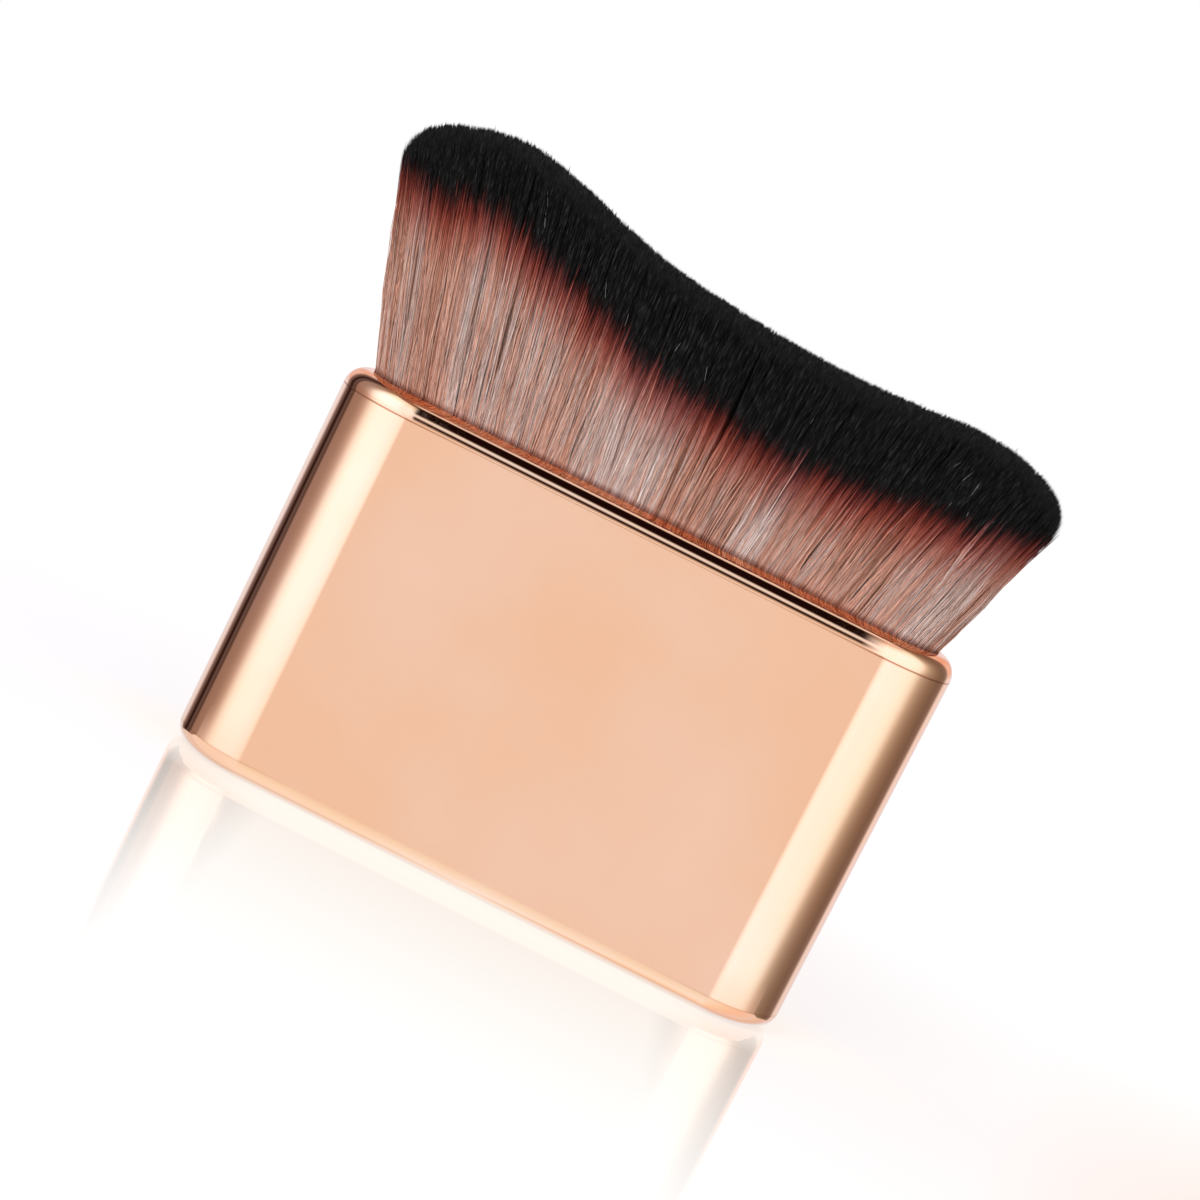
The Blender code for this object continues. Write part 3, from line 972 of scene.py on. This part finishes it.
bpy.ops.object.select_all(action="DESELECT")
bpy.ops.mesh.primitive_plane_add(size=2 * FLOOR_HALF, location=(0, 0, 0))
floor = bpy.context.object
floor.name = "floor"
floor.visible_glossy = False
floor_sheet, tree, plain_shader = new_material("glossy_white_floor")
tree.nodes.remove(plain_shader)
place = add_node(tree, "ShaderNodeTexCoord").outputs["Object"]
narrowed = add_node(tree, "ShaderNodeMapping", Vector=place, Scale=MIRROR_STRETCH)
away = add_node(tree, "ShaderNodeVectorMath", operation="LENGTH")
tree.links.new(narrowed.outputs["Vector"], away.inputs[0])
away = away.outputs["Value"]
near = span_share(tree, away, HANDLE_HALF_DEPTH + MIRROR_REACH, HANDLE_HALF_DEPTH)
# The middle of the handle mirrors the bright room, so it leaves a weaker image than the ends
sides = add_node(tree, "ShaderNodeSeparateXYZ", Vector=place)
aside = maths(tree, "ABSOLUTE", sides.outputs["X"])
mirrored = maths(tree, "MULTIPLY", near, span_share(tree, aside, *MIRROR_SIDES, *MIRROR_SHARES))
# Light caught under the rounded foot washes out the image next to it
mirrored = maths(tree, "MULTIPLY", mirrored, span_share(tree, away, *WASHED_SPAN, WASHED_SHARE))
# The plating throws a warm light on the sheet around it
glowing = span_share(tree, away, HANDLE_HALF_DEPTH + WARM_REACH, HANDLE_HALF_DEPTH)
warm = add_ramp(tree, glowing, ((0.0, grey(1.0)), (1.0, WARM_GLOW)))
white = add_node(tree, "ShaderNodeBsdfDiffuse", Color=(*grey(FLOOR_WHITE), 1)).outputs[0]
glow = add_node(tree, "ShaderNodeEmission", Color=warm, Strength=FLOOR_GLOW).outputs[0]
mirror = add_node(tree, "ShaderNodeBsdfGlossy", Color=(1, 1, 1, 1), Roughness=MIRROR_ROUGHNESS)
seen = mixed_shader(mirrored, mixed_shader(GLOW_SHARE, white, glow), mirror.outputs[0])
camera_ray = add_node(tree, "ShaderNodeLightPath").outputs["Is Camera Ray"]
surface = mixed_shader(camera_ray, white, seen)
tree.links.new(surface, tree.nodes["Material Output"].inputs["Surface"])
floor.data.materials.append(floor_sheet)

# Studio: white all round for the camera, an even soft light on everything dull, and for what
# shines the room's own softboxes and dark flags, laid out by compass bearing and height.
PLAIN_LIGHT = 0.80
RAMP_TOP = 2.5

# Bearing in degrees from the front towards the left, and brightness in red, green and blue
LEFT_CARDS = (
    (9, 1.25, 1.4, 1.55),
    (12, 1.38, 1.5, 1.66),
    (15, 1.45, 1.573, 1.822),
    (21, 1.5, 1.658, 1.969),
    (30, 1.6, 1.73, 2.054),
    (48, 1.6, 1.73, 2.044),
    (54, 1.5, 1.669, 1.894),
    (60, 1.25, 1.494, 1.659),
    (66, 1.03, 1.154, 1.241),
    (69, 0.9, 0.917, 0.963),
    (72, 0.76, 0.731, 0.749),
    (75, 0.64, 0.587, 0.589),
    (78, 0.56, 0.484, 0.471),
    (84, 0.45, 0.371, 0.353),
    (90, 0.4, 0.319, 0.3),
    (101.5, 0.37, 0.288, 0.278),
    (104.5, 0.16, 0.113, 0.107),
    (107, 0.1, 0.072, 0.064),
    (111, 0.17, 0.134, 0.139),
    (114.5, 0.08, 0.052, 0.054),
    (117, 0.03, 0.015, 0.016),
    (120.5, 0.04, 0.021, 0.016),
    (123.5, 0.13, 0.093, 0.086),
    (129, 0.22, 0.175, 0.182),
    (131.5, 0.34, 0.299, 0.321),
    (135, 0.6, 0.628, 0.749),
    (138.5, 0.9, 0.93, 1.03),
    (142, 0.99, 1.04, 1.15),
    (147, 0.95, 0.99, 1.07),
    (158, 0.9, 0.93, 0.98),
    (166, 0.9, 0.94, 1.04),
    (173, 0.94, 0.87, 0.85),
)

# The same towards the right
RIGHT_CARDS = (
    (15, 1.5, 1.624, 1.863),
    (21, 1.5, 1.689, 2.001),
    (27, 1.5, 1.648, 1.937),
    (45, 1.5, 1.627, 1.873),
    (51, 1.4, 1.607, 1.798),
    (57, 1.25, 1.555, 1.712),
    (60, 1.18, 1.514, 1.626),
    (63, 1.12, 1.432, 1.53),
    (66, 1.09, 1.318, 1.391),
    (69, 1.01, 1.133, 1.166),
    (72, 0.88, 0.937, 0.931),
    (75, 0.75, 0.762, 0.738),
    (78, 0.62, 0.628, 0.578),
    (81, 0.55, 0.536, 0.482),
    (84, 0.48, 0.453, 0.407),
    (90, 0.39, 0.35, 0.31),
    (96, 0.33, 0.278, 0.235),
    (102, 0.29, 0.237, 0.203),
    (111, 0.24, 0.196, 0.161),
    (114, 0.23, 0.185, 0.161),
    (120, 0.25, 0.196, 0.171),
    (124.5, 0.27, 0.216, 0.193),
    (128, 0.33, 0.278, 0.268),
    (130.5, 0.48, 0.43, 0.43),
    (132.5, 0.68, 0.63, 0.65),
    (135, 0.86, 0.85, 0.9),
    (138, 1, 0.98, 1.04),
    (142, 1.02, 0.97, 1.02),
    (147, 0.96, 0.92, 0.96),
    (158, 0.91, 0.87, 0.93),
    (166, 0.9, 0.88, 0.97),
    (173, 0.93, 0.8, 0.77),
)

# The same for what the foot's rounded edge shows from below
FOOT_LEFT_CARDS = (
    (0, 1.12, 1.26, 1.27),
    (20, 1.12, 1.236, 1.305),
    (65, 1.1, 1.15, 1.22),
    (98, 1.07, 1.11, 1.18),
    (108, 0.95, 0.95, 0.98),
    (130, 0.93, 0.98, 1.06),
    (144, 0.86, 0.93, 1.0),
    (152, 0.92, 1.01, 1.1),
    (162, 0.94, 1.06, 1.17),
    (172, 1.05, 1.2, 1.31),
    (180, 1.1, 1.26, 1.38),
)
FOOT_RIGHT_CARDS = (
    (0, 1.12, 1.26, 1.27),
    (20, 1.12, 1.133, 1.049),
    (40, 1.11, 1.0, 0.82),
    (66, 1.09, 0.88, 0.74),
    (98, 1.0, 0.94, 0.94),
    (118, 0.92, 0.8, 0.7),
    (131, 0.93, 0.77, 0.75),
    (144, 0.88, 0.9, 0.94),
    (152, 0.93, 1.02, 1.12),
    (162, 0.96, 1.08, 1.2),
    (180, 1.12, 1.28, 1.36),
)

# Height in degrees above the horizon and brightness, in front of the brush
FRONT_HEIGHTS = (
    (-90, 1.15, 1.38, 1.58),
    (-75, 1.12, 1.32, 1.46),
    (-60, 1.12, 1.28, 1.32),
    (-33, 1.09, 1.18, 1.14),
    (-22, 1.05, 1.10, 1.06),
    (-14, 1.0, 1.0, 1.0),
    (4, 1.0, 1.0, 1.0),
    (7, 0.7, 0.65, 0.6),
    (10, 0.28, 0.22, 0.18),
    (13, 0.02, 0.008, 0.004),
    (18.5, 0.02, 0.008, 0.004),
    (21.5, 0.3, 0.3, 0.3),
    (25.5, 0.9, 1.0, 1.1),
    (31, 1.08, 1.25, 1.4),
    (34.5, 0.75, 0.88, 0.98),
    (38, 0.3, 0.28, 0.27),
    (41.5, 0.012, 0.004, 0.003),
    (74.5, 0.012, 0.004, 0.003),
    (80, 0.95, 0.9, 0.88),
    (90, 1.05, 1.0, 1.05),
)

# Share of the side cards' light at a height, to the left and to the right
LEFT_HEIGHTS = (
    (-90, 0.97, 0.97, 0.96),
    (-12.6, 0.97, 0.97, 0.96),
    (-7, 1.02, 1.03, 1.03),
    (6, 1.03, 0.95, 0.95),
    (18, 1.04, 1.1, 1.16),
    (42, 1.03, 1.15, 1.24),
    (52, 1.0, 1.08, 1.08),
    (60, 0.92, 0.93, 0.83),
    (67, 0.80, 0.80, 0.68),
    (71, 0.25, 0.14, 0.08),
    (82, 0.25, 0.14, 0.08),
    (88, 0.70, 0.60, 0.50),
)
RIGHT_HEIGHTS = (
    (-90, 0.97, 0.94, 0.89),
    (-12.6, 0.97, 0.94, 0.89),
    (-10, 1.0, 1.0, 1.0),
    (-7, 1.0, 1.01, 1.0),
    (15, 1.05, 1.06, 1.04),
    (42, 1.07, 1.08, 1.08),
    (52, 1.0, 1.0, 0.95),
    (60, 0.90, 0.85, 0.75),
    (68, 0.65, 0.52, 0.44),
    (77, 0.65, 0.52, 0.44),
    (90, 0.85, 0.75, 0.68),
)

# Bearings and heights, in degrees, that the cards and flags are cut and turned between
LEAN_HEIGHTS = (-24, -12)
LEAN = -9
REACH_HEIGHTS = (-2, 34)
REACH = 14
DROOP_BEARINGS = (88, 102)
DROOP = 9
UNDERFOOT_HEIGHTS = (-12.4, -14.8)
STRIP_BEARINGS = ((132, 141), (168, 162))
STRIP_HEIGHTS = ((0, 5), (36, 28))
STRIP_TINT = (0.96, 0.70, 0.57)
WALL_BEARINGS = ((-11, -5), (15, 8.5))
RIM_HEIGHTS = (0, 4)
# How far aside the rim's card is cut: the left edge and the right, as parts of a direction's length
RIM_ASIDES = ((-0.0875, -0.0862), (0.0965, 0.0885))

world = bpy.data.worlds.new("studio")
bpy.context.scene.world = world
world.use_nodes = True
tree = world.node_tree
direction = add_node(tree, "ShaderNodeTexCoord").outputs["Generated"]
parts = add_node(tree, "ShaderNodeSeparateXYZ", Vector=direction)


def scaled_ramp(factor, marks, low=0):
    """A ramp over 180 degrees from the lowest, its colours brought under 1."""
    stops = []
    for degrees, *colour in marks:
        stops.append(((degrees - low) / 180, tuple(part / RAMP_TOP for part in colour)))
    return add_ramp(tree, factor, stops)


def angle_share(value, start, end):
    """A share that runs from 0 to 1 between two angles in degrees."""
    return span_share(tree, value, math.radians(start), math.radians(end))


def between(value, rising, falling):
    """A share that is 1 between two edges, each given by the angles it starts and ends at."""
    return maths(tree, "MINIMUM", angle_share(value, *rising), angle_share(value, *falling))


def brightened(colour):
    """A ramp's colour brought back to its full brightness."""
    scaled = add_node(tree, "ShaderNodeVectorMath", operation="SCALE", Scale=RAMP_TOP)
    tree.links.new(colour, scaled.inputs[0])
    return scaled.outputs[0]


front = maths(tree, "MULTIPLY", parts.outputs["Y"], -1)
bearing = maths(tree, "ARCTAN2", parts.outputs["X"], front)
height = maths(tree, "ARCSINE", parts.outputs["Z"])
turned = maths(tree, "ABSOLUTE", bearing)
turned_place = maths(tree, "DIVIDE", turned, math.pi)
height_place = maths(tree, "MULTIPLY_ADD", height, 1 / math.pi, 0.5)

# The side cards hang at a slant near the floor, and reach further round above the horizon
lean = span_share(tree, height, *map(math.radians, LEAN_HEIGHTS), LEAN / 180, 0.0)
reach = maths(tree, "MULTIPLY", angle_share(height, *REACH_HEIGHTS), REACH / 180)
reached = maths(tree, "SUBTRACT", turned_place, reach)
left_place = maths(tree, "ADD", reached, lean)
right_place = maths(tree, "MULTIPLY_ADD", lean, 0.5, reached)
on_right = maths(tree, "GREATER_THAN", bearing, 0.0)
left_cards = scaled_ramp(left_place, LEFT_CARDS)
right_cards = scaled_ramp(right_place, RIGHT_CARDS)
cards = blend(tree, on_right, left_cards, right_cards)
# Towards the far sides a warm strip lies along the horizon
strip = maths(tree, "MULTIPLY", between(turned, *STRIP_BEARINGS), between(height, *STRIP_HEIGHTS))
cards = tinted(tree, cards, add_ramp(tree, strip, ((0.0, grey(1.0)), (1.0, STRIP_TINT))))
foot_left = scaled_ramp(turned_place, FOOT_LEFT_CARDS)
foot_right = scaled_ramp(turned_place, FOOT_RIGHT_CARDS)
foot_cards = blend(tree, on_right, foot_left, foot_right)
front_cards = scaled_ramp(height_place, FRONT_HEIGHTS, -90)
left_share = scaled_ramp(height_place, LEFT_HEIGHTS, -90)
right_share = scaled_ramp(height_place, RIGHT_HEIGHTS, -90)
side_share = blend(tree, on_right, left_share, right_share)
side_cards = add_node(tree, "ShaderNodeVectorMath", operation="MULTIPLY")
tree.links.new(cards, side_cards.inputs[0])
tree.links.new(side_share, side_cards.inputs[1])
side_cards = brightened(side_cards.outputs[0])
# The dark flags at the far sides hang a little lower than the bright cards
droop = maths(tree, "MULTIPLY", angle_share(turned, *DROOP_BEARINGS), math.radians(DROOP))
underfoot = angle_share(maths(tree, "ADD", height, droop), *UNDERFOOT_HEIGHTS)
pattern = blend(tree, underfoot, side_cards, foot_cards)
# In front the wall sees one card with soft edges, and the rim sees the flags above it
wall_front = between(bearing, *WALL_BEARINGS)
rim_edges = [span_share(tree, parts.outputs["X"], *edge) for edge in RIM_ASIDES]
rim_more = maths(tree, "SUBTRACT", maths(tree, "MINIMUM", *rim_edges), wall_front)
in_front = maths(tree, "MULTIPLY_ADD", angle_share(height, *RIM_HEIGHTS), rim_more, wall_front)
shiny = brightened(blend(tree, in_front, pattern, front_cards))
path = add_node(tree, "ShaderNodeLightPath").outputs
glossy = maths(tree, "MAXIMUM", path["Is Glossy Ray"], path["Is Transmission Ray"])
room = blend(tree, glossy, grey(PLAIN_LIGHT), shiny)
shown = blend(tree, path["Is Camera Ray"], room, grey(1.0))
tree.links.new(shown, tree.nodes["Background"].inputs["Color"])


def soft_lamp(name, place, aim, size, watts):
    """A square softbox that lights the bristles and leaves no image of itself in the plating."""
    data = bpy.data.lights.new(name, "AREA")
    data.size = size
    data.energy = watts
    lamp = bpy.data.objects.new(name, data)
    bpy.context.scene.collection.objects.link(lamp)
    lamp.location = place
    lamp.rotation_euler = (Vector(aim) - Vector(place)).to_track_quat("-Z", "Y").to_euler()
    lamp.visible_glossy = False


soft_lamp("key_softbox", (-0.35, -0.55, 0.50), (0, 0, 0.05), 0.35, 5.0)
soft_lamp("fill_softbox", (0.50, -0.45, 0.35), (0, 0, 0.05), 0.45, 2.5)

# Camera: as the photograph, level with the tips, the picture turned 26.6 degrees.
CAMERA_PLACE = (-1.30 * MM, -327.3 * MM, 77.3 * MM)
CAMERA_PITCH = math.radians(7.16)
CAMERA_ROLL = math.radians(26.62)
CAMERA_LENS = 85.5

camera_data = bpy.data.cameras.new("camera")
camera_data.lens = CAMERA_LENS
camera_data.sensor_width = 36
camera_data.clip_start = 0.01
camera = bpy.data.objects.new("camera", camera_data)
bpy.context.scene.collection.objects.link(camera)
tilt = Matrix.Rotation(math.pi / 2 - CAMERA_PITCH, 4, "X")
camera.matrix_world = Matrix.Translation(CAMERA_PLACE) @ tilt @ Matrix.Rotation(CAMERA_ROLL, 4, "Z")
bpy.context.scene.camera = camera
bpy.context.scene.view_settings.view_transform = "Standard"
